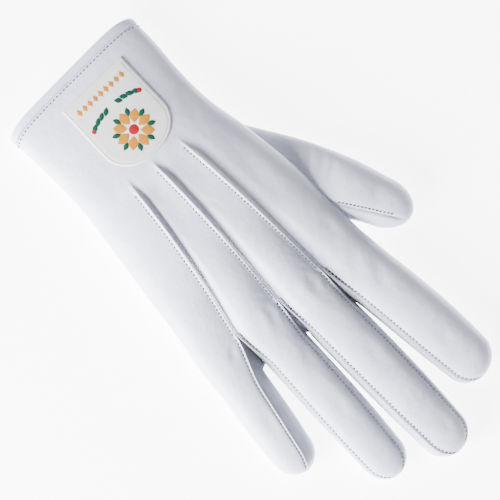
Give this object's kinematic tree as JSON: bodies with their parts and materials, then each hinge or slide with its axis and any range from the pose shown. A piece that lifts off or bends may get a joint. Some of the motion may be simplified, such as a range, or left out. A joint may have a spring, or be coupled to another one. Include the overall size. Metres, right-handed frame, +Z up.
{
  "type": "white leather parade glove",
  "caption": "Right-hand leather dress glove lying palm down, hollow, with ribbed back, set-in thumb, fourchettes between the fingers, cuff hem and a shield-shaped patch.",
  "frame": {"origin": "on the surface that the palm rests on, under the middle of the glove's box", "axes": "+Y from the cuff to the fingertips, +X across towards the little finger, +Z up from the palm to the back of the hand"},
  "size_m": [0.1358, 0.2546, 0.0263],
  "materials": {
    "white_leather": "smooth white glove leather with a soft satin sheen",
    "fourchette_leather": "the same white leather, a little duller",
    "patch_cloth": null
  },
  "bodies": {
    "root": {"hand_shell": "white_leather", "thumb": "white_leather", "cuff_hem": "white_leather", "fourchette_index_middle": "fourchette_leather", "fourchette_middle_ring": "fourchette_leather", "fourchette_ring_little": "fourchette_leather", "badge_patch": "patch_cloth"}
  },
  "joints": []
}
